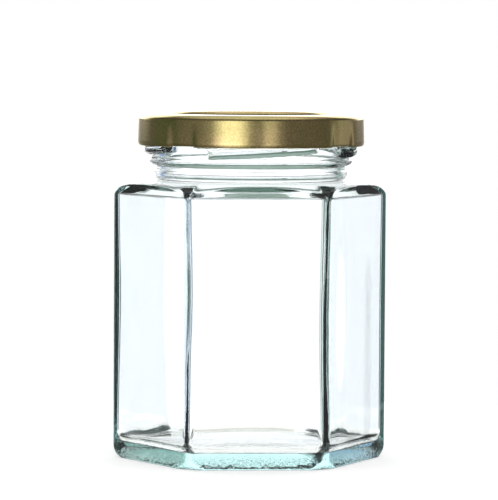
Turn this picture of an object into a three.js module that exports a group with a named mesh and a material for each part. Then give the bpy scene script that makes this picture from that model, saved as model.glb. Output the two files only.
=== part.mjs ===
// A clear glass jar with six flat sides, a round neck with short slanting screw ridges, and a
// gold twist-off lid of pressed tinplate standing on its rim. Millimetres, +Z up. The origin is
// the middle of the base, on the plane that the jar stands on. The flat side that shows in front
// faces -Y, so two of the six upright edges lie over the X axis.

import * as THREE from "three";
import { mergeVertices } from "three/addons/utils/BufferGeometryUtils.js";

const RADIANS = Math.PI / 180;
const SIDES = 6;
const FRONT = -90; // the direction of -Y, in degrees from +X

// The six-sided body
const HEIGHT = 98; // with the lid on
const FLAT = 33.95; // from the axis to each flat side
const CORNER_RADIUS = 3; // of the six upright edges
const SHOULDER_START = 75; // where the edges begin to turn in to the shoulder
const SHOULDER_TOP = 79.4; // the shoulder beside the neck
const FOOT_ROUND = 1.1; // under each flat side
const HEEL = { reach: 36.5, high: 3.8 }; // the corners are drawn in further down to the foot

// Inside of the body: even walls, rounder corners and a thick domed floor
const WALL = 2.25;
const INNER_CORNER_RADIUS = 6.5;
const FLOOR = { edge: 4.3, half_way: 5, middle: 5.3, round: 3.2 }; // heights and corner rounding
const INNER_SHOULDER_START = 72.6;
const INNER_SHOULDER_TOP = 77;

// The hollow under the base, which leaves a flat ring to stand on
const HOLLOW = { radius: 28.6, middle: 1.5, half_way: 1.25, edge: 0.45 };

// The round neck, from the shoulder up to the rim
const BORE = 24.9;
const BORE_FOOT = { round: 0.8, z: 78 }; // where the bore widens to the inner shoulder
const NECK_ROOT = 26.8;
const NECK_FILLET = 0.6; // between the neck and the shoulder
const LOWER_RING = { reach: 27.6, z: 81, half: 0.8 };
const BEAD = { reach: 28.9, z: 84.5, half: 1.2 };
const FINISH = 28.1; // the wall that carries the ridges
const RIM = 97.3;
const RIM_ROUND = 1.3;

// The screw ridges, which rise to the right; angles are in degrees from the front
const RIDGE = { count: 4, start: -28.8, sweep: 66, z: 86.9, rise: 1.9, half: 0.95, reach: 30.4 };
const RIDGE_FADE = 0.13; // the share of its length over which each end thins out

// The lid, of sheet thicker than real tinplate so that it stays solid
const SHEET = 0.32;
const LID_RADIUS = 32.4;
const LID_BOTTOM = 88.9;
const PANEL_DROP = 1.9; // how far the middle lies under the crest
const PANEL_RADIUS = 23.6; // of the flat middle
const WALL_LEAN = 0.9; // the wall round it widens by this much on the way up
const INNER_BEND = 1.2; // from that wall up to the flat ring over the rim of the glass
const OUTER_BEND = { wide: 2.5, high: 1.6 }; // from the flat ring down to the skirt
const CURL = 0.8; // radius of the rolled lower edge
const FLARE = 0.2; // the skirt widens downwards by this much
const LUG = { count: 4, middle: 49.5, half: 6.5, slope: 2, press: 1 }; // from the rolled edge inwards

// Columns of points, in degrees: round each sixth of the body from its corner, and round each
// quarter of the lid from the middle of a lug
const BODY_COLUMNS = [0, 1.05, 2.1, 5.4, 12, 18, 24, 30, 36, 42, 48, 54.6, 57.9, 58.95];
const LID_COLUMNS = [0, 3.5, 5.5, 7.5, 13, 21, 29, 37, 45, 53, 61, 69, 77, 82.5, 84.5, 86.5];

// The columns of one part of the turn, repeated all the way round
function columns(part, count, first = 0) {
  const starts = Array.from({ length: count }, (_, i) => first + (360 / count) * i);
  return starts.flatMap((start) => part.map((degrees) => start + degrees));
}

// A closed geometry with flat facets, free of the empty triangles at the axis
function facets(geometry) {
  const bare = geometry.clone();
  bare.deleteAttribute("normal");
  bare.deleteAttribute("uv");
  const merged = mergeVertices(bare, 1e-4);
  const corners = Array.from(merged.index.array);
  const kept = [];
  for (let i = 0; i < corners.length; i += 3) {
    const triangle = corners.slice(i, i + 3);
    if (new Set(triangle).size === 3) {
      kept.push(...triangle);
    }
  }
  merged.setIndex(kept);
  const flat = merged.toNonIndexed();
  flat.computeVertexNormals();
  return flat;
}

// Points [radius, height] on an ellipse's arc, between two angles in degrees
function arc(middle, reach, from, to, steps) {
  const points = [];
  for (let i = 0; i <= steps; i++) {
    const angle = (from + ((to - from) * i) / steps) * RADIANS;
    points.push([middle[0] + reach[0] * Math.cos(angle), middle[1] + reach[1] * Math.sin(angle)]);
  }
  return points;
}

// A closed solid from a profile that may change with the angle: columns of [radius, height]
// points stand at the given angles, in degrees, round the Z axis. A profile starts and ends on
// the axis, with the solid on its left.
function turned(profileAt, angles) {
  const first = profileAt(angles[0]).map(([radius, z]) => new THREE.Vector2(radius, z));
  const lathe = new THREE.LatheGeometry(first, angles.length);
  const points = lathe.getAttribute("position");
  for (let i = 0; i <= angles.length; i++) {
    const angle = angles[i % angles.length];
    profileAt(angle).forEach(([radius, z], j) => {
      const x = radius * Math.cos(angle * RADIANS);
      const y = radius * Math.sin(angle * RADIANS);
      points.setXYZ(i * first.length + j, x, y, z);
    });
  }
  return facets(lathe);
}

// From the axis to a hexagon with rounded corners, one of which lies at 0 degrees
function hexagonReach(flat, radius, degrees) {
  const half = 180 / SIDES;
  const side = half * RADIANS;
  const fromCorner = Math.abs(past(degrees, -half, SIDES) - half) * RADIANS;
  const centre = (flat - radius) / Math.cos(side);
  const tangent = Math.atan2(radius * Math.sin(side), centre + radius * Math.cos(side));
  if (fromCorner > tangent) {
    return flat / Math.cos(side - fromCorner);
  }
  const across = centre * Math.sin(fromCorner);
  return centre * Math.cos(fromCorner) + Math.sqrt(radius * radius - across * across);
}

// A shoulder's curve from its reach at this angle in to the neck, as part of an ellipse that
// turns upright at the corners, so that each flat side ends in an arch
function shoulder(reach, corner, neck, start, top, steps) {
  const wide = corner - neck;
  const from = Math.acos(Math.min(1, (reach - neck) / wide)) / RADIANS;
  return arc([neck, start], [wide, top - start], from, 90, steps);
}

// Outside of the jar at an angle: hollow, foot, heel, side, shoulder, neck rings and rim
function outerProfile(degrees) {
  const corner = hexagonReach(FLAT, CORNER_RADIUS, 0);
  const reach = hexagonReach(FLAT, CORNER_RADIUS, degrees);
  const foot = Math.min(reach - FOOT_ROUND, HEEL.reach);
  const drawn = (reach - foot - FOOT_ROUND) / (corner - HEEL.reach - FOOT_ROUND);
  const high = FOOT_ROUND + (HEEL.high - FOOT_ROUND) * drawn;
  return [
    [0, HOLLOW.middle],
    [HOLLOW.radius / 2, HOLLOW.half_way],
    [HOLLOW.radius - 2 * HOLLOW.edge, HOLLOW.edge],
    [HOLLOW.radius, 0],
    ...arc([foot, high], [reach - foot, high], -90, 0, 4),
    ...shoulder(reach, corner, NECK_ROOT + NECK_FILLET, SHOULDER_START, SHOULDER_TOP, 5),
    [NECK_ROOT, SHOULDER_TOP + NECK_FILLET],
    ...ring(LOWER_RING, NECK_ROOT, 3),
    ...ring(BEAD, NECK_ROOT, 4).slice(0, -1),
    [FINISH, BEAD.z + BEAD.half],
    ...ring(ridge(degrees), FINISH, 4),
    ...arc([FINISH - RIM_ROUND, RIM - RIM_ROUND], [RIM_ROUND, RIM_ROUND], 0, 90, 3),
  ];
}

// How far an angle lies past the last of several starts that are spread evenly round the turn
function past(degrees, start, count) {
  const pitch = 360 / count;
  return (((degrees - start) % pitch) + pitch) % pitch;
}

// The screw ridge's section at an angle. Between two ridges it is flat, and leads from the high
// end of one back to the low start of the next.
function ridge(degrees) {
  const pitch = 360 / RIDGE.count;
  const turn = past(degrees, FRONT + RIDGE.start, RIDGE.count);
  const gap = pitch - RIDGE.sweep;
  const along = turn < RIDGE.sweep ? turn / RIDGE.sweep : (pitch - turn) / gap;
  const inside = turn < RIDGE.sweep ? Math.min(along, 1 - along) / RIDGE_FADE : 0;
  const reach = FINISH + (RIDGE.reach - FINISH) * Math.sin(Math.min(1, inside) * Math.PI / 2);
  return { reach, z: RIDGE.z + RIDGE.rise * along, half: RIDGE.half };
}

// The rounded outside of a ring that stands out of the neck
function ring(shape, root, steps) {
  return arc([root, shape.z], [shape.reach - root, shape.half], -85, 85, steps);
}

// Inside of the jar at an angle: rim, bore, shoulder, side and domed floor
function innerProfile(degrees) {
  const corner = hexagonReach(FLAT - WALL, INNER_CORNER_RADIUS, 0);
  const reach = hexagonReach(FLAT - WALL, INNER_CORNER_RADIUS, degrees);
  const neck = BORE + BORE_FOOT.round;
  return [
    ...arc([BORE + RIM_ROUND, RIM - RIM_ROUND], [RIM_ROUND, RIM_ROUND], 90, 180, 3),
    [BORE, BORE_FOOT.z],
    ...shoulder(reach, corner, neck, INNER_SHOULDER_START, INNER_SHOULDER_TOP, 4).reverse(),
    ...arc([reach - FLOOR.round, FLOOR.edge + FLOOR.round], [FLOOR.round, FLOOR.round], 0, -90, 3),
    [reach / 2, FLOOR.half_way],
    [0, FLOOR.middle],
  ];
}

// The glass, in one piece and open at the mouth
function jar() {
  const profileAt = (degrees) => [...outerProfile(degrees), ...innerProfile(degrees)];
  return turned(profileAt, columns(BODY_COLUMNS, SIDES));
}

// One face of the pressed sheet, from the middle of the panel to the skirt; the inner face lies
// the sheet's thickness inside the outer one
function sheetFace(inset) {
  const wall = PANEL_RADIUS + WALL_LEAN;
  const bend = INNER_BEND - inset;
  return [
    [0, HEIGHT - PANEL_DROP - inset],
    [PANEL_RADIUS + inset / 2, HEIGHT - PANEL_DROP - inset],
    ...arc([wall + INNER_BEND, HEIGHT - INNER_BEND], [bend, bend], 180, 90, 3),
    ...arc(
      [LID_RADIUS - OUTER_BEND.wide, HEIGHT - OUTER_BEND.high],
      [OUTER_BEND.wide - inset, OUTER_BEND.high - inset],
      90,
      0,
      4,
    ),
  ];
}

// The sheet's two faces, with the rolled edge between them, which is pressed in at the lugs
function lidProfile(degrees) {
  const half = 180 / LUG.count;
  const offset = Math.abs(past(degrees, FRONT + LUG.middle - half, LUG.count) - half);
  const share = (LUG.half + LUG.slope / 2 - offset) / LUG.slope;
  const press = LUG.press * Math.min(1, Math.max(0, share));
  const middle = [LID_RADIUS + FLARE - CURL, LID_BOTTOM + CURL];
  return [
    ...sheetFace(0),
    ...arc(middle, [CURL, CURL], 40, -90, 3),
    ...arc(middle, [CURL + press, CURL], -120, -205, 4),
    ...sheetFace(SHEET).reverse(),
  ].reverse();
}

// The lid, in one piece
function lid() {
  return turned(lidProfile, columns(LID_COLUMNS, LUG.count, FRONT + LUG.middle));
}

// A mesh with its name
function named(name, shape, material) {
  const mesh = new THREE.Mesh(shape, material);
  mesh.name = name;
  return mesh;
}

const clearGlass = new THREE.MeshStandardMaterial({
  color: 0xe9f5f2,
  roughness: 0.03,
  metalness: 0,
  transparent: true,
  opacity: 0.35,
});
const goldLacquer = new THREE.MeshStandardMaterial({
  color: 0xb8923f,
  roughness: 0.3,
  metalness: 1,
});

const hexagonalJar = new THREE.Group();
hexagonalJar.add(named("glass_jar", jar(), clearGlass));
hexagonalJar.add(named("lid", lid(), goldLacquer));

export default hexagonalJar;
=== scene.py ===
"""A clear glass jar with six flat sides and a gold twist-off lid, on a plain white studio floor."""

from math import atan2, cos, degrees, hypot, pi, radians, sin, sqrt
from random import Random

import bpy
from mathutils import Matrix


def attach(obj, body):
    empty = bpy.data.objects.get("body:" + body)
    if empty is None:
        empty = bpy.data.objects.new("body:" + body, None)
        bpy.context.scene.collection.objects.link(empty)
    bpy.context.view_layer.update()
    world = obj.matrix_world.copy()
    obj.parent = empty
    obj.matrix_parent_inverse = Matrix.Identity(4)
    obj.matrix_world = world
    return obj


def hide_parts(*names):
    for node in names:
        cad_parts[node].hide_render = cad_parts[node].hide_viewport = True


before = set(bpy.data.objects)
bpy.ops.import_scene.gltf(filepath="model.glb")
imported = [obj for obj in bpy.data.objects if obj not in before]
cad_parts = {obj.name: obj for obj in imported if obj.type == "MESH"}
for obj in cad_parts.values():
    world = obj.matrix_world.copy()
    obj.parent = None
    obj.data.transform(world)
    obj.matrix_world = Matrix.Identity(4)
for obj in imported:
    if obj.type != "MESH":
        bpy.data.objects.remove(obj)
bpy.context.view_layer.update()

MM = 0.001  # a millimetre, in metres

# The photograph's camera: its distance from the jar's axis, its height over the floor, how far it
# looks down, how far round from the front side it stands, how far it is tipped, its lens and film in
# millimetres, how far the picture is shifted, and the nearest and farthest that it sees, in metres
CAMERA_DISTANCE = 1000 * MM
CAMERA_HEIGHT = 119.5 * MM
CAMERA_PITCH = radians(3.461)
CAMERA_TURN = radians(-3.8)
CAMERA_ROLL = radians(-0.35)
CAMERA_LENS = 253.2
CAMERA_FILM = 36
CAMERA_SHIFT = -0.0047
CAMERA_NEAR = 0.05
CAMERA_FAR = 50

# Every length from here on is in millimetres. A reach is a distance from the jar's axis, and a
# height is over the floor.

# The glass outside: its six sides
SIDES = 6
FRONT = -pi / 2  # the front side's direction, from +X
FLAT = 33.95  # reach of the flat sides
CORNER_RADIUS = 3.0  # of the upright edges
CORNER_REACH = (FLAT - CORNER_RADIUS) / cos(pi / SIDES) + CORNER_RADIUS

# Its foot
FOOT_ROUND = 0.6  # under the flat sides
HEEL_REACH = 36.5  # to here the corners are drawn in
HEEL_HIGH = 3.8  # height of their rounding
HOLLOW_RADIUS = 28.6  # of the hollow under the base
HOLLOW_RISE = 1.5  # in its middle
HOLLOW_EDGE = 0.35  # where it bends down to the standing ring
HOLLOW_POWER = 2.2  # the higher, the flatter its middle
RING_BEND = 0.8  # reach of that bend on both sides of the hollow's edge
STIPPLE = 0.22  # the most that the ring's pits go in
STIPPLE_SEED = 7

# Its shoulder and neck
SHOULDER_START = 75.0  # at the corners
SHOULDER_TOP = 79.2  # beside the neck
SHOULDER_POWER = 0.45  # the lower, the steeper its rim and the flatter the rest
ARCH_ROUND = 0.7  # between each side and the shoulder
NECK_ROOT = 27.0
NECK_FILLET = 0.6
# Rings round the neck: their reach, height and half their own height
LOWER_RING = {"reach": 27.5, "z": 81.0, "half": 1.0}
BEAD = {"reach": 28.9, "z": 84.5, "half": 1.35}
FINISH = 28.1  # the wall that carries the screw ridges
RIM = 97.3
RIM_ROUND = 1.3
# The screw ridges rise to the right, and their turns are in degrees from the front
RIDGE = {"count": 4, "start": -28.8, "sweep": 66, "z": 86.9, "rise": 1.9, "half": 1.35, "reach": 30.4}
RIDGE_FADE = 0.13  # the share of its length over which each end thins out
RIDGE_POWER = 0.4  # the lower, the squarer its section

# The glass inside. For each corner, counted from the right-hand one against the clock, a row gives a
# height, the wall beside the corner and the inner corner's radius.
WALL = 2.5  # of the flat sides
CORNERS = (
    ((7, 2.8, 1.8), (46, 2.8, 2.0), (74, 2.5, 1.8)),
    ((8, 2.8, 3), (40, 2.9, 3), (73, 2.7, 3)),
    ((8, 2.8, 3), (40, 2.7, 3), (73, 2.8, 3)),
    ((6, 2.2, 1.8), (46, 2.9, 2.2), (74, 2.3, 1.8)),
    ((7, 2.6, 1.2), (26, 2.8, 1.3), (48, 3.3, 1.3), (74, 2.9, 1.5)),
    ((7, 2.8, 1.6), (38, 3.6, 2.6), (74, 3.0, 2.6)),
)
CORNER_HOLDS = radians(6)  # its wall holds this far to both sides of a corner
CORNER_FADES = radians(22)  # and has passed into the flat side's from here on
INNER_SHOULDER_START = 75.2
INNER_SHOULDER_TOP = 78.4
INNER_ROUND = 0.5  # between the inner wall and the inner shoulder
JAR_FLOOR_EDGE = 4.3
JAR_FLOOR_MIDDLE = 5.3
JAR_FLOOR_ROUND = 3.2  # between the inner wall and the floor
BORE = 24.9
BORE_FOOT = 79.2
BORE_FLARE = 0.8  # the bore widens by this much to meet the inner shoulder

# The lid
LID_TOP = 98.0
LID_RADIUS = 32.4
SHEET = 0.24  # thickness
PANEL_TOP = 96.1  # of the sunk middle
PANEL_RADIUS = 24.35
PANEL_BEND = {"in": 0.8, "out": 0.3, "up": 0.5}  # from the panel up into the wall round it
UNDER_BEND = 0.6  # reach of the same bend on the underside, inwards
CREST_RADIUS = 25.45  # where that wall would meet the crest
CREST_BEND = {"in": 0.5, "down": 0.7, "out": 0.7}  # from the wall over to the crest
OUTER_BEND = {"wide": 2.5, "high": 1.6}  # from the crest down into the skirt
FLARE = 0.2  # the skirt widens downwards by this much
CREST_REACH = LID_RADIUS - FLARE - OUTER_BEND["wide"]
BEND_FOOT = LID_TOP - OUTER_BEND["high"]
SKIRT_FOOT = 91.1  # inside, where the sheet turns into the roll
ROLL_FOOT = 88.9
ROLL = 0.4  # half the width of the rolled lower edge
ROLL_HIGH = 1.3  # from its lowest place up to the skirt
ROLL_START = 150  # in degrees, where the sheet ends inside the roll
# The lugs press the roll in and up: the first one's middle, half its width and the slope at both its
# ends are in degrees
LUG = {"count": 4, "middle": 49.5, "half": 6.5, "slope": 2.5, "in": 0.6, "up": 0.25}

# The grid that each piece is wrapped from: its columns, how far those of the jar crowd together at its
# corners, and how near two points lie that become one
COLUMNS = 288
CROWDING = 0.65
MERGE = 0.001

# The glass: the tint is the colour that comes through best where it is thick, and the density says
# how fast the rest fades. The mould leaves long low waves in the sides, and the marks of its rough foot
# thin out over the heel between two heights.
GLASS_TINT = "#59eae3"
GLASS_DENSITY = 8.5
GLASS_IOR = 1.52
WAVE_WIDE = 5.0
WAVE_HIGH = 14.0
WAVE_DEEP = 0.03
MARK_WIDE = 1.3
MARK_DEEP = 0.25
MARKS_FULL = 1.6
MARKS_END = 3.6

# The lid's tinplate and its lacquer. The grain is drawn about twice too coarse, so that it shows.
NOISE_LOW, NOISE_HIGH = 0.3, 0.7  # nearly all of a noise's values lie between
TIN_GRAIN = 0.5
TIN_RELIEF = 0.012
TIN_DARK = "#cdb27a"
TIN_LIGHT = "#e0c88f"
LACQUER_CLOUD = 9.0
LACQUER_THICK = "#e6f0e0"
LACQUER_THIN = "#ffffff"

# The floor that the jar stands on
FLOOR_RADIUS = 160
FLOOR_GLOW = 0.3
FLOOR_CORNERS = 96

# The room's light. A turn is in degrees from straight behind the jar towards the right, a rise is in
# degrees over the horizon, and a level is one strength or its red, green and blue. Near the horizon
# the light goes by the turn, and high up and low down it goes by the rise: the share says which.
# The sides of the room are a dark teal, which the glass bends into its edges.
TEAL = (0.05, 0.08, 0.08)
DEEP_TEAL = (0.025, 0.065, 0.06)
THROUGH_GLASS = {
    "gain": 1.5,
    "by_turn": (
        (-180, 0.9), (-172, 0.8), (-160, TEAL), (-145, TEAL), (-138, 0.8), (-132, 0.8), (-125, TEAL),
        (-102, TEAL), (-95, 0.9), (-85, 0.9), (-78, DEEP_TEAL), (-57, DEEP_TEAL), (-50, (0.07, 0.1, 0.14)),
        (-44, (0.12, 0.18, 0.28)), (-35, (0.22, 0.3, 0.45)), (-27, (0.6, 0.62, 0.7)),
        (-18, (0.93, 0.95, 1.0)), (18, (0.93, 0.95, 1.0)), (27, (0.5, 0.55, 0.5)),
        (36, (0.2, 0.28, 0.25)), (44, (0.2, 0.3, 0.28)), (50, (0.09, 0.13, 0.12)), (57, DEEP_TEAL),
        (78, DEEP_TEAL), (85, 0.9), (95, 0.9), (102, TEAL), (125, TEAL), (132, 0.8), (138, 0.8),
        (145, TEAL), (180, 0.9),
    ),
    "by_rise": (
        (-90, 0.74), (-62, 0.7), (-52, (0.56, 0.53, 0.48)), (-43, (0.58, 0.55, 0.5)), (-35, 0.88),
        (-9, 0.95), (0, 0.8), (14, 0.55), (25, 0.25), (35, 0.12), (52, 0.12), (66, 1.0), (90, 1.0),
    ),
    "share": ((-90, 1.0), (-11, 1.0), (-7, 0.0), (9, 0.0), (16, 1.0), (90, 1.0)),
}
# The same for what the lid and the skin of the glass mirror
MIRRORED = {
    "gain": 2.4,
    "by_turn": (
        (-180, 0.16), (-176, 0.2), (-172, 0.5), (-164, 1.0), (-150, 1.0), (-142, 0.5), (-136, 0.16),
        (-122, 0.1), (-110, 0.08), (-100, 0.07), (-90, (0.035, 0.05, 0.03)), (-68, (0.035, 0.05, 0.03)),
        (-56, 0.05), (-32, 0.08), (-20, 0.16), (-13, 0.6), (13, 0.6), (20, 0.16), (32, 0.08), (54, 0.06),
        (68, 0.15), (80, 0.17), (88, 0.1), (100, 0.05), (146, 0.06), (154, 0.12), (161, 0.36),
        (168, 0.42), (172, 0.18), (175, 0.13), (180, 0.16),
    ),
    "by_rise": (
        (-90, 0.1), (-20, 0.03), (0, 0.05), (25, 0.03), (44, 0.06), (58, 0.25), (72, 0.4), (90, 0.4),
    ),
    "share": (
        (-90, 1.0), (-40, 0.8), (-18, 0.55), (-9, 0.0), (-2, 0.0), (6, 0.35), (22, 1.0), (90, 1.0),
    ),
}
# and the white backdrop that they mirror behind the jar
BACKDROP = {
    "level": (0.9, 0.9, 0.9, 1),
    "by_turn": ((-180, 0), (-55, 0), (-35, 1), (35, 1), (55, 0), (180, 0)),
    "by_rise": ((-90, 0), (0, 0), (3, 1), (35, 1), (50, 0), (90, 0)),
}

# The sockets of a Mix node that holds colours
MIX_SHARE, MIX_FIRST, MIX_SECOND, MIX_RESULT = 0, 6, 7, 2


def add_camera():
    """The photograph's camera."""
    data = bpy.data.cameras.new("camera")
    camera = bpy.data.objects.new("camera", data)
    bpy.context.scene.collection.objects.link(camera)
    data.lens = CAMERA_LENS
    data.sensor_width = CAMERA_FILM
    data.shift_x = CAMERA_SHIFT
    data.clip_start = CAMERA_NEAR
    data.clip_end = CAMERA_FAR
    camera.location = (
        CAMERA_DISTANCE * sin(CAMERA_TURN),
        -CAMERA_DISTANCE * cos(CAMERA_TURN),
        CAMERA_HEIGHT,
    )
    camera.rotation_euler = (pi / 2 - CAMERA_PITCH, CAMERA_ROLL, CAMERA_TURN)
    bpy.context.scene.camera = camera


# A column is a list of points, each a reach and a height. A stretch that goes on from a column's last
# point leaves that point out.


def spread(first, last, steps):
    """Even steps from one number to another, without the first."""
    return [first + (last - first) * i / steps for i in range(1, steps + 1)]


def towards(first, last, share):
    """The point at a share of the way from one point to another."""
    return (first[0] + (last[0] - first[0]) * share, first[1] + (last[1] - first[1]) * share)


def line(first, last, steps):
    """A straight stretch."""
    return [towards(first, last, share) for share in spread(0, 1, steps)]


def bend(first, corner, last, steps):
    """A soft bend between two points, drawn towards the corner between them."""
    return [
        towards(towards(first, corner, share), towards(corner, last, share), share)
        for share in spread(0, 1, steps)
    ]


def on_ellipse(middle, reach, angle):
    """The point of an ellipse at an angle in degrees."""
    return (middle[0] + reach[0] * cos(radians(angle)), middle[1] + reach[1] * sin(radians(angle)))


def arc(middle, reach, start, end, steps):
    """An ellipse's arc between two angles in degrees."""
    return [on_ellipse(middle, reach, angle) for angle in spread(start, end, steps)]


def smooth(share):
    """A soft passage from 0 to 1, level at both ends."""
    share = min(1.0, max(0.0, share))
    return share * share * (3 - 2 * share)


def past(angle, start, count):
    """How far an angle lies past the last of several starts spread evenly round the turn."""
    return (angle - start) % (2 * pi / count)


def hexagon_reach(flat, radius, angle):
    """From the axis to a hexagon with rounded corners, one of which lies at angle 0."""
    half = pi / SIDES
    off = abs(past(angle, -half, SIDES) - half)
    centre = (flat - radius) / cos(half)
    tangent = atan2(radius * sin(half), centre + radius * cos(half))
    if off > tangent:
        return flat / cos(half - off)
    return centre * cos(off) + sqrt(radius**2 - (centre * sin(off)) ** 2)


# The glass

chance = Random(STIPPLE_SEED)


def base(foot):
    """From the base's middle over the shallow hollow and out over the rough standing ring."""
    edge, ring = HOLLOW_RADIUS - RING_BEND, HOLLOW_RADIUS + RING_BEND
    column = [(0.0, HOLLOW_RISE)]
    for share in spread(0, 1, steps=12):
        column.append((edge * share, HOLLOW_RISE - (HOLLOW_RISE - HOLLOW_EDGE) * share**HOLLOW_POWER))
    column += bend(column[-1], (HOLLOW_RADIUS, 0.0), (ring, 0.0), steps=4)
    for reach in spread(ring, foot, steps=8):
        column.append((reach, STIPPLE * chance.random()))
    return column


def heel(reach, foot):
    """From the standing ring up into a side, higher where the foot is drawn in further."""
    drawn_in = (reach - foot - FOOT_ROUND) / (CORNER_REACH - HEEL_REACH - FOOT_ROUND)
    high = FOOT_ROUND + (HEEL_HIGH - FOOT_ROUND) * drawn_in
    return arc((foot, high), (reach - foot, high), -90, 0, steps=9)


def shoulder_height(reach):
    """The shoulder's height, nearly level and steep only at its rim."""
    neck = NECK_ROOT + NECK_FILLET
    share = min(1.0, max(0.0, (reach - neck) / (CORNER_REACH - neck)))
    return SHOULDER_START + (SHOULDER_TOP - SHOULDER_START) * (1 - share * share) ** SHOULDER_POWER


def shoulder(reach):
    """From a side's top, which is lower at the corners, in over the arch to the neck."""
    top = shoulder_height(reach)
    back = reach - ARCH_ROUND
    column = bend((reach, top - ARCH_ROUND), (reach, top), (back, shoulder_height(back)), steps=7)
    for inward in spread(back, NECK_ROOT + NECK_FILLET, steps=14):
        column.append((inward, shoulder_height(inward)))
    neck_foot = (NECK_ROOT, SHOULDER_TOP + NECK_FILLET)
    return column + bend(column[-1], (NECK_ROOT, SHOULDER_TOP), neck_foot, steps=4)


def swell(height, ring):
    """How far a rounded ring stands out at a height, as a share of its reach."""
    off = (height - ring["z"]) / ring["half"]
    return sqrt(1 - off * off) if abs(off) < 1 else 0.0


def ridge_at(angle):
    """The screw ridge's section at an angle: thin at both ends and flat between two ridges."""
    turn = degrees(past(angle, FRONT + radians(RIDGE["start"]), RIDGE["count"]))
    sweep, pitch = RIDGE["sweep"], 360 / RIDGE["count"]
    along = turn / sweep if turn < sweep else (pitch - turn) / (pitch - sweep)
    inside = min(along, 1 - along) / RIDGE_FADE if turn < sweep else 0
    reach = FINISH + (RIDGE["reach"] - FINISH) * sin(min(1, inside) * pi / 2)
    return {"reach": reach, "z": RIDGE["z"] + RIDGE["rise"] * along, "half": RIDGE["half"]}


def neck(angle):
    """From the shoulder up: low ring, groove, bead, screw ridge and rim."""
    column = []
    ridge = ridge_at(angle)
    rim_foot = RIM - RIM_ROUND
    for height in spread(SHOULDER_TOP + NECK_FILLET, rim_foot, steps=88):
        reach = NECK_ROOT + (FINISH - NECK_ROOT) * smooth((height - BEAD["z"]) / BEAD["half"])
        for ring in (LOWER_RING, BEAD):
            reach = max(reach, NECK_ROOT + (ring["reach"] - NECK_ROOT) * swell(height, ring))
        if height > BEAD["z"]:
            reach = max(reach, FINISH + (ridge["reach"] - FINISH) * swell(height, ridge) ** RIDGE_POWER)
        column.append((reach, height))
    return column + arc((FINISH - RIM_ROUND, rim_foot), (RIM_ROUND, RIM_ROUND), 0, 90, steps=6)


def outer_skin(angle):
    """The glass outside at an angle, from the middle of the base up to the rim."""
    reach = hexagon_reach(FLAT, CORNER_RADIUS, angle)
    foot = min(reach - FOOT_ROUND, HEEL_REACH)
    column = base(foot) + heel(reach, foot)
    column += line(column[-1], (reach, shoulder_height(reach) - ARCH_ROUND), steps=34)
    return column + shoulder(reach) + neck(angle)


def between(rows, height):
    """The values of rows of heights at one height, with a soft passage from row to row."""
    for low, high in zip(rows, rows[1:]):
        if height <= high[0]:
            share = smooth((height - low[0]) / (high[0] - low[0]))
            return [first + (last - first) * share for first, last in zip(low[1:], high[1:])]
    return rows[-1][1:]


def inner_reach(angle, height):
    """From the axis to the inner wall, which is thicker and rounder at one corner than the next."""
    nearest = round(angle / (2 * pi / SIDES)) % SIDES
    off = abs(past(angle, -pi / SIDES, SIDES) - pi / SIDES)
    wall, radius = between(CORNERS[nearest], height)
    share = smooth((CORNER_FADES - off) / (CORNER_FADES - CORNER_HOLDS))
    return hexagon_reach(FLAT - WALL - (wall - WALL) * share, radius, angle)


def inner_skin(angle):
    """The glass inside at an angle, from the rim down to the middle of the floor."""
    column = arc((BORE + RIM_ROUND, RIM - RIM_ROUND), (RIM_ROUND, RIM_ROUND), 90, 180, steps=6)
    column += line(column[-1], (BORE, BORE_FOOT), steps=16)
    slope_top = (BORE + BORE_FLARE, INNER_SHOULDER_TOP)
    slope_foot = (inner_reach(angle, INNER_SHOULDER_START), INNER_SHOULDER_START)
    column += bend(column[-1], (BORE, INNER_SHOULDER_TOP), slope_top, steps=6)
    slope = hypot(slope_top[0] - slope_foot[0], slope_top[1] - slope_foot[1])
    column += line(slope_top, towards(slope_foot, slope_top, INNER_ROUND / slope), steps=16)
    wall_top = INNER_SHOULDER_START - INNER_ROUND
    column += bend(column[-1], slope_foot, (slope_foot[0], wall_top), steps=6)
    wall_foot = JAR_FLOOR_EDGE + JAR_FLOOR_ROUND
    for height in spread(wall_top, wall_foot, steps=60):
        column.append((inner_reach(angle, height), height))
    edge = column[-1][0] - JAR_FLOOR_ROUND
    column += arc((edge, wall_foot), (JAR_FLOOR_ROUND, JAR_FLOOR_ROUND), 0, -90, steps=12)
    for reach in spread(edge, 0.0, steps=12):
        dip = (JAR_FLOOR_MIDDLE - JAR_FLOOR_EDGE) * (reach / edge) ** 2
        column.append((reach, JAR_FLOOR_MIDDLE - dip))
    return column


def jar_column(angle):
    """The glass at an angle, outside and inside."""
    return outer_skin(angle) + inner_skin(angle)


# The lid


def roll_middle(angle):
    """The middle of the rolled edge, which each lug presses inwards and a little upwards."""
    pitch = 360 / LUG["count"]
    off = abs(degrees(past(angle, radians(LUG["middle"] - pitch / 2), LUG["count"])) - pitch / 2)
    press = smooth((LUG["half"] + LUG["slope"] - off) / LUG["slope"])
    return (LID_RADIUS - ROLL - LUG["in"] * press, ROLL_FOOT + ROLL + LUG["up"] * press)


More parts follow.
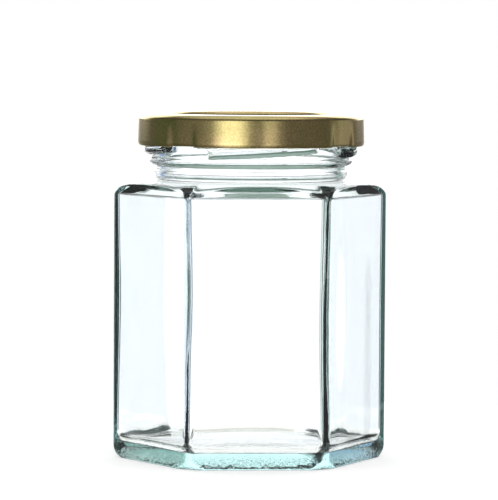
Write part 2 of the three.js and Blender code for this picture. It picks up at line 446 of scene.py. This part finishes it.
def lid_underside(angle):
    """From the middle of the panel's underside over the crest and down inside the skirt."""
    panel, crest = PANEL_TOP - SHEET, LID_TOP - SHEET
    wall = PANEL_RADIUS + SHEET
    wall_foot = (wall + PANEL_BEND["out"], PANEL_TOP + PANEL_BEND["up"])
    wall_top = (CREST_RADIUS - CREST_BEND["in"], crest - CREST_BEND["down"])
    column = [(0.0, panel)]
    column += line(column[-1], (PANEL_RADIUS - UNDER_BEND, panel), steps=10)
    column += bend(column[-1], (wall, panel), wall_foot, steps=6)
    column += line(wall_foot, wall_top, steps=1)
    column += bend(wall_top, (CREST_RADIUS, crest), (CREST_RADIUS + CREST_BEND["out"], crest), steps=6)
    column += line(column[-1], (CREST_REACH, crest), steps=4)
    inner_bend = (OUTER_BEND["wide"] - SHEET, OUTER_BEND["high"] - SHEET)
    column += arc((CREST_REACH, BEND_FOOT), inner_bend, 90, 0, steps=10)
    return column + line(column[-1], (roll_middle(angle)[0] + ROLL - SHEET, SKIRT_FOOT), steps=14)


def lid_outside(angle):
    """From the sheet's end in the roll, up the skirt and over the crest to the panel's middle."""
    middle = roll_middle(angle)
    wall_top = (CREST_RADIUS - CREST_BEND["in"], LID_TOP - CREST_BEND["down"])
    wall_foot = (PANEL_RADIUS + PANEL_BEND["out"], PANEL_TOP + PANEL_BEND["up"])
    panel_edge = (PANEL_RADIUS - PANEL_BEND["in"], PANEL_TOP)
    column = [on_ellipse(middle, (ROLL, ROLL), ROLL_START)]
    column += arc(middle, (ROLL, ROLL), ROLL_START, 270, steps=6)
    column += arc((middle[0], middle[1] - ROLL + ROLL_HIGH), (ROLL, ROLL_HIGH), 270, 360, steps=8)
    column += line(column[-1], (LID_RADIUS - FLARE, BEND_FOOT), steps=28)
    column += arc((CREST_REACH, BEND_FOOT), (OUTER_BEND["wide"], OUTER_BEND["high"]), 0, 90, steps=14)
    column += line(column[-1], (CREST_RADIUS + CREST_BEND["out"], LID_TOP), steps=5)
    column += bend(column[-1], (CREST_RADIUS, LID_TOP), wall_top, steps=8)
    column += line(wall_top, wall_foot, steps=6)
    column += bend(wall_foot, (PANEL_RADIUS, PANEL_TOP), panel_edge, steps=8)
    return column + line(panel_edge, (0.0, PANEL_TOP), steps=12)


def lid_column(angle):
    """The lid at an angle, underside and outside."""
    return lid_underside(angle) + lid_outside(angle)


def wrap(name, column_at, crowding=0, lined_rows=0):
    """A closed piece wrapped from one fine grid, whose columns stand round the axis.

    Its section changes from column to column, with the corners, arches, ridges and lugs, so each point
    of the grid is put in its own place. The first rows of faces get the piece's second material.
    """
    even = [2 * pi * i / COLUMNS for i in range(COLUMNS)]
    angles = [angle - crowding * sin(SIDES * angle) / SIDES for angle in even]
    columns = [column_at(angle) for angle in angles]
    rows = len(columns[0])
    bpy.ops.object.select_all(action="DESELECT")
    bpy.ops.mesh.primitive_grid_add(x_subdivisions=COLUMNS, y_subdivisions=rows - 1)
    piece = bpy.context.object
    piece.name = name
    piece.data.name = name
    places = []
    for row in range(rows):
        for i in range(COLUMNS + 1):
            reach, height = columns[i % COLUMNS][row]
            angle = angles[i % COLUMNS]
            places += [reach * cos(angle) * MM, reach * sin(angle) * MM, height * MM]
    piece.data.vertices.foreach_set("co", places)
    finishes = [int(face // COLUMNS < lined_rows) for face in range(len(piece.data.polygons))]
    piece.data.polygons.foreach_set("material_index", finishes)
    bpy.ops.object.mode_set(mode="EDIT")
    bpy.ops.mesh.select_all(action="SELECT")
    bpy.ops.mesh.remove_doubles(threshold=MERGE * MM)
    bpy.ops.mesh.normals_make_consistent(inside=False)
    bpy.ops.object.mode_set(mode="OBJECT")
    bpy.ops.object.shade_smooth()
    return piece


# Materials and light


def linear(hexcode):
    """An sRGB hex colour as linear RGBA."""
    channels = [int(hexcode[i : i + 2], 16) / 255 for i in (1, 3, 5)]
    bent = [c / 12.92 if c <= 0.04045 else ((c + 0.055) / 1.055) ** 2.4 for c in channels]
    return (*bent, 1.0)


def add_node(tree, kind, settings=None, links=None):
    """A node with its settings, each a property's or a socket's, and the links to its sockets."""
    node = tree.nodes.new(kind)
    for name, value in (settings or {}).items():
        if isinstance(name, str) and hasattr(node, name):
            setattr(node, name, value)
        else:
            node.inputs[name].default_value = value
    for name, source in (links or {}).items():
        tree.links.new(source, node.inputs[name])
    return node


def shades(tree, value, stops):
    """Colours or greys that pass softly from stop to stop as a value rises."""
    low, high = stops[0][0], stops[-1][0]
    share = add_node(tree, "ShaderNodeMapRange", {"From Min": low, "From Max": high}, {"Value": value})
    node = add_node(tree, "ShaderNodeValToRGB", links={"Fac": share.outputs[0]})
    node.color_ramp.interpolation = "EASE"
    elements = node.color_ramp.elements
    elements.remove(elements[0])
    for number, (place, shade) in enumerate(stops):
        position = (place - low) / (high - low)
        element = elements.new(position) if number else elements[0]
        element.position = position
        element.color = (*shade[:3], 1) if isinstance(shade, tuple) else (shade, shade, shade, 1)
    return node.outputs[0]


def start_material(name):
    """An empty material and its node tree."""
    material = bpy.data.materials.new(name)
    material.use_nodes = True
    material.node_tree.nodes.clear()
    return material, material.node_tree


def glass_material():
    """Pressed clear glass: faintly green where it is thick, and a little wavy from the mould."""
    material, tree = start_material("clear soda-lime glass")
    place = add_node(tree, "ShaderNodeTexCoord").outputs["Object"]
    stretched = add_node(
        tree, "ShaderNodeMapping", {"Scale": (1, 1, WAVE_WIDE / WAVE_HIGH)}, {"Vector": place})
    waves = add_node(
        tree, "ShaderNodeTexNoise", {"Scale": 1 / (WAVE_WIDE * MM), "Detail": 2.0},
        {"Vector": stretched.outputs[0]})
    wavy = add_node(
        tree, "ShaderNodeBump", {"Strength": 1.0, "Distance": WAVE_DEEP * MM},
        {"Height": waves.outputs["Fac"]})
    marks = add_node(
        tree, "ShaderNodeTexNoise", {"Scale": 1 / (MARK_WIDE * MM), "Detail": 1.0}, {"Vector": place})
    height = add_node(tree, "ShaderNodeSeparateXYZ", links={"Vector": place}).outputs["Z"]
    low_down = add_node(
        tree, "ShaderNodeMapRange", {"From Min": MARKS_END * MM, "From Max": MARKS_FULL * MM},
        {"Value": height})
    marked = add_node(
        tree, "ShaderNodeBump", {"Distance": MARK_DEEP * MM},
        {"Strength": low_down.outputs[0], "Height": marks.outputs["Fac"], "Normal": wavy.outputs[0]})
    skin = add_node(
        tree, "ShaderNodeBsdfPrincipled",
        {"Base Color": linear("#ffffff"), "Roughness": 0.0, "IOR": GLASS_IOR, "Transmission Weight": 0.99},
        {"Normal": marked.outputs[0]})
    tint = add_node(
        tree, "ShaderNodeVolumeAbsorption", {"Color": linear(GLASS_TINT), "Density": GLASS_DENSITY})
    add_node(
        tree, "ShaderNodeOutputMaterial", links={"Surface": skin.outputs[0], "Volume": tint.outputs[0]})
    return material


def gold_material():
    """Rolled tinplate under a gold lacquer: a satin metal with a fine grain and a soft clear gloss.

    The lacquer lies a little thicker in some places, which clouds its colour.
    """
    material, tree = start_material("gold lacquered tinplate")
    place = add_node(tree, "ShaderNodeTexCoord").outputs["Object"]
    grain = add_node(
        tree, "ShaderNodeTexNoise", {"Scale": 1 / (TIN_GRAIN * MM), "Detail": 2.0},
        {"Vector": place}).outputs["Fac"]
    clouds = add_node(
        tree, "ShaderNodeTexNoise", {"Scale": 1 / (LACQUER_CLOUD * MM), "Detail": 1.0},
        {"Vector": place}).outputs["Fac"]
    metal = shades(tree, grain, ((NOISE_LOW, linear(TIN_DARK)), (NOISE_HIGH, linear(TIN_LIGHT))))
    lacquer = shades(tree, clouds, ((NOISE_LOW, linear(LACQUER_THICK)), (NOISE_HIGH, linear(LACQUER_THIN))))
    colour = add_node(
        tree, "ShaderNodeMix", {"data_type": "RGBA", "blend_type": "MULTIPLY", MIX_SHARE: 1.0},
        {MIX_FIRST: metal, MIX_SECOND: lacquer})
    satin = add_node(tree, "ShaderNodeMapRange", {"To Min": 0.13, "To Max": 0.2}, {"Value": grain})
    relief = add_node(
        tree, "ShaderNodeBump", {"Strength": 0.1, "Distance": TIN_RELIEF * MM}, {"Height": grain})
    sheet = add_node(
        tree, "ShaderNodeBsdfPrincipled",
        {"Metallic": 1.0, "Coat Weight": 0.6, "Coat Roughness": 0.15},
        {
            "Base Color": colour.outputs[MIX_RESULT],
            "Roughness": satin.outputs[0],
            "Normal": relief.outputs[0],
        })
    add_node(tree, "ShaderNodeOutputMaterial", links={"Surface": sheet.outputs[0]})
    return material


def lining_with_painted_glow_material():
    """Pale enamel under the lid, smooth, with a faint greenish painted glow for the light that gets in."""
    material, tree = start_material("pale enamel lining with painted glow")
    enamel = add_node(
        tree, "ShaderNodeBsdfPrincipled",
        {
            "Base Color": linear("#b4cdc1"),
            "Roughness": 0.35,
            # Painted glow: this faint greenish emission stands in for the light that gets in under the lid
            "Emission Color": linear("#7fae9c"),
            "Emission Strength": 0.12,
        })
    add_node(tree, "ShaderNodeOutputMaterial", links={"Surface": enamel.outputs[0]})
    return material


def floor_material():
    """White laminate, matt and even. Only the eye sees it: the glass looks past it into the room."""
    material, tree = start_material("white laminate")
    laminate = add_node(
        tree, "ShaderNodeBsdfPrincipled",
        {
            "Base Color": linear("#f4f4f4"),
            "Roughness": 1.0,
            "Emission Color": linear("#ffffff"),
            "Emission Strength": FLOOR_GLOW,
        })
    clear = add_node(tree, "ShaderNodeBsdfTransparent")
    seen = add_node(tree, "ShaderNodeLightPath").outputs["Is Camera Ray"]
    either = add_node(
        tree, "ShaderNodeMixShader", links={0: seen, 1: clear.outputs[0], 2: laminate.outputs[0]})
    add_node(tree, "ShaderNodeOutputMaterial", links={"Surface": either.outputs[0]})
    return material


def add_floor():
    """A pale round of the table under the jar."""
    bpy.ops.object.select_all(action="DESELECT")
    bpy.ops.mesh.primitive_circle_add(vertices=FLOOR_CORNERS, radius=FLOOR_RADIUS * MM, fill_type="NGON")
    ground = bpy.context.object
    ground.name = "floor"
    ground.data.materials.append(floor_material())


def room_light(tree, turn, rise, plan):
    """One plan of the room's light, by the turn near the horizon and by the rise away from it."""
    tables = {
        MIX_SHARE: shades(tree, rise, plan["share"]),
        MIX_FIRST: shades(tree, turn, plan["by_turn"]),
        MIX_SECOND: shades(tree, rise, plan["by_rise"]),
    }
    return add_node(tree, "ShaderNodeMix", {"data_type": "RGBA"}, tables).outputs[MIX_RESULT]


def add_studio():
    """The room round the table: what shows behind the jar, through its glass and on its lid."""
    world = bpy.data.worlds.new("studio")
    bpy.context.scene.world = world
    world.use_nodes = True
    tree = world.node_tree
    tree.nodes.clear()
    direction = add_node(tree, "ShaderNodeTexCoord").outputs["Generated"]
    x, y, z = add_node(tree, "ShaderNodeSeparateXYZ", links={"Vector": direction}).outputs
    around = add_node(tree, "ShaderNodeMath", {"operation": "ARCTAN2"}, {0: x, 1: y})
    turn = add_node(tree, "ShaderNodeMath", {"operation": "DEGREES"}, {0: around.outputs[0]}).outputs[0]
    upward = add_node(tree, "ShaderNodeMath", {"operation": "ARCSINE"}, {0: z})
    rise = add_node(tree, "ShaderNodeMath", {"operation": "DEGREES"}, {0: upward.outputs[0]}).outputs[0]
    through = room_light(tree, turn, rise, THROUGH_GLASS)
    around_backdrop = room_light(tree, turn, rise, MIRRORED)
    behind = add_node(
        tree, "ShaderNodeMath", {"operation": "MULTIPLY"},
        {0: shades(tree, turn, BACKDROP["by_turn"]), 1: shades(tree, rise, BACKDROP["by_rise"])})
    mirrored = add_node(
        tree, "ShaderNodeMix", {"data_type": "RGBA", MIX_SECOND: BACKDROP["level"]},
        {MIX_SHARE: behind.outputs[0], MIX_FIRST: around_backdrop}).outputs[MIX_RESULT]
    path = add_node(tree, "ShaderNodeLightPath")
    lit = add_node(tree, "ShaderNodeBackground", {"Color": linear("#ffffff")})
    for ray, plan, level in (
        ("Is Glossy Ray", MIRRORED, mirrored),
        ("Is Transmission Ray", THROUGH_GLASS, through),
    ):
        light = add_node(tree, "ShaderNodeBackground", {"Strength": plan["gain"]}, {"Color": level})
        lit = add_node(
            tree, "ShaderNodeMixShader",
            links={0: path.outputs[ray], 1: lit.outputs[0], 2: light.outputs[0]})
    add_node(tree, "ShaderNodeOutputWorld", links={"Surface": lit.outputs[0]})


add_camera()

jar = wrap("jar_glass", jar_column, CROWDING)
jar.data.materials.append(glass_material())
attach(jar, "root")
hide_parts("glass_jar")

lid = wrap("twist_lid", lid_column, lined_rows=len(lid_underside(0)))
lid.data.materials.append(gold_material())
lid.data.materials.append(lining_with_painted_glow_material())
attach(lid, "root")
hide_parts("lid")

add_floor()
add_studio()
bpy.context.scene.view_settings.view_transform = "Standard"
